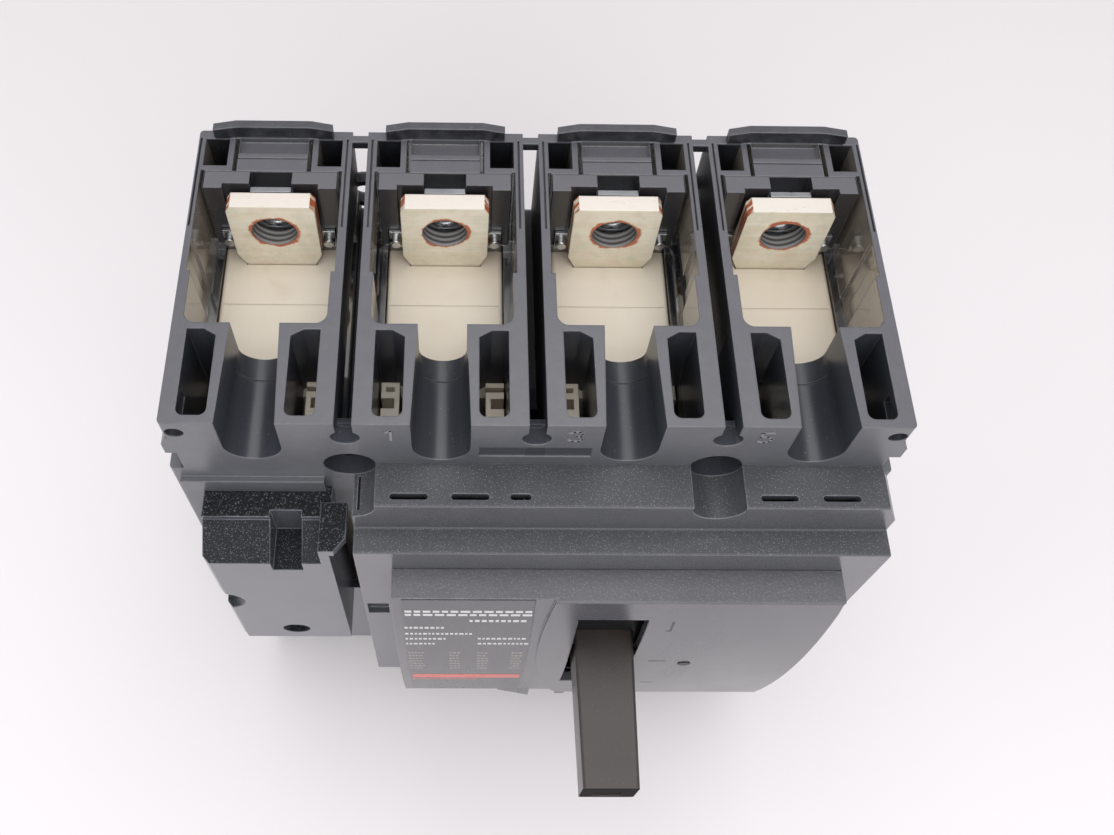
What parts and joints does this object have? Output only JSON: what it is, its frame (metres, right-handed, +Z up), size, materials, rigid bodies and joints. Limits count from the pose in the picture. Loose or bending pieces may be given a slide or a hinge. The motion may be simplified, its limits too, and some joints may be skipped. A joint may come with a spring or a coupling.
{
  "type": "molded case circuit breaker",
  "caption": "Molded case circuit breaker with a front toggle, screw terminals in deep bays at both ends and a separate cover over the neutral pole.",
  "frame": {"origin": "on the back mounting plane, at the centre of the four fixing holes", "axes": "+X right when seen from the front, -Y out of the front, +Z up towards the line terminals"},
  "size_m": [0.1396, 0.1168, 0.1644],
  "materials": {
    "case_black": "fine-grained thermoset, semi-gloss inside the channels",
    "cover_black": "fine-grained thermoset",
    "face_charcoal": "lightly textured satin",
    "rating_film": "printed film, satin",
    "cassette_ivory": "satin moulding",
    "tinned_copper": "tin plating with bare copper at cut edges",
    "carrier_black": "satin moulding",
    "rotor_brown": "satin moulding",
    "contact_copper": "plain copper",
    "contact_silver": "silver facing",
    "arc_steel": "zinc plated",
    "toggle_brown": "satin with fine texture",
    "dial_grey": "satin",
    "bimetal_strip": "plain metal",
    "zinc_steel": "bright zinc plating",
    "mechanism_steel": "zinc plated"
  },
  "bodies": {
    "case": {"arc_plates_1": "arc_steel", "arc_plates_3": "arc_steel", "arc_plates_5": "arc_steel", "arc_plates_n": "arc_steel", "base_case": "case_black", "bimetals": "bimetal_strip", "captive_nuts": "zinc_steel", "case_screws": "mechanism_steel", "clamp_clips": "zinc_steel", "clamp_pins": "zinc_steel", "contact_tips": "contact_silver", "front_cover": "face_charcoal", "line_nut_carrier_1": "carrier_black", "line_nut_carrier_3": "carrier_black", "line_nut_carrier_5": "carrier_black", "line_nut_carrier_n": "carrier_black", "line_terminal_1": "tinned_copper", "line_terminal_3": "tinned_copper", "line_terminal_5": "tinned_copper", "line_terminal_n": "tinned_copper", "load_nut_carrier_1": "carrier_black", "load_nut_carrier_3": "carrier_black", "load_nut_carrier_5": "carrier_black", "load_nut_carrier_n": "carrier_black", "load_terminal_1": "tinned_copper", "load_terminal_3": "tinned_copper", "load_terminal_5": "tinned_copper", "load_terminal_n": "tinned_copper", "mechanism_pins": "mechanism_steel", "middle_cover": "cover_black", "neutral_cover": "cover_black", "neutral_lower_cover": "cover_black", "pole_cassette_1": "cassette_ivory", "pole_cassette_3": "cassette_ivory", "pole_cassette_5": "cassette_ivory", "pole_cassette_n": "cassette_ivory", "rating_plate": "rating_film", "side_plate_left": "mechanism_steel", "side_plate_right": "mechanism_steel", "trip_bar_bearings": "mechanism_steel", "trip_unit_case": "cover_black"},
    "handle": {"toggle": "toggle_brown", "toggle_shield": "toggle_brown", "toggle_yoke": "mechanism_steel", "main_springs": "mechanism_steel"},
    "contact_rotor": {"link_rods": "mechanism_steel", "rotor_n": "rotor_brown", "rotor_1": "rotor_brown", "rotor_3": "rotor_brown", "rotor_5": "rotor_brown", "moving_contact_n": "contact_copper", "moving_contact_1": "contact_copper", "moving_contact_3": "contact_copper", "moving_contact_5": "contact_copper"},
    "button": {"trip_button": "toggle_brown"},
    "overload_dial": {"dial_overload": "dial_grey"},
    "short_circuit_dial": {"dial_short_circuit": "dial_grey"},
    "trip_shaft": {"trip_bar": "carrier_black"}
  },
  "joints": [
    {"name": "toggle_pivot", "type": "hinge", "parent": "case", "child": "handle", "pos_m": [0.0175, -0.0552, 0.0085], "axis": [1, 0, 0], "range_deg": [-27, 27]},
    {"name": "contact_rotor_spin", "type": "hinge", "parent": "case", "child": "contact_rotor", "pos_m": [0, -0.0265, 0], "axis": [1, 0, 0], "range_deg": [-20, 20]},
    {"name": "trip_button_push", "type": "slide", "parent": "case", "child": "button", "axis": [0, 1, 0], "range_m": [0, 0.0015], "stiffness_N_per_m": 300},
    {"name": "overload_dial_turn", "type": "hinge", "parent": "case", "child": "overload_dial", "pos_m": [0.004, -0.076, -0.05], "axis": [0, -1, 0], "range_deg": [-120, 120]},
    {"name": "short_circuit_dial_turn", "type": "hinge", "parent": "case", "child": "short_circuit_dial", "pos_m": [0.031, -0.076, -0.05], "axis": [0, -1, 0], "range_deg": [-120, 120]},
    {"name": "trip_shaft_turn", "type": "hinge", "parent": "case", "child": "trip_shaft", "pos_m": [0, -0.06, -0.047], "axis": [1, 0, 0], "range_deg": [0, 12], "stiffness_Nm_per_rad": 0.05}
  ],
  "couplings": [
    {"joint": "contact_rotor_spin", "follows": "toggle_pivot", "ratio": 0.7407}
  ]
}
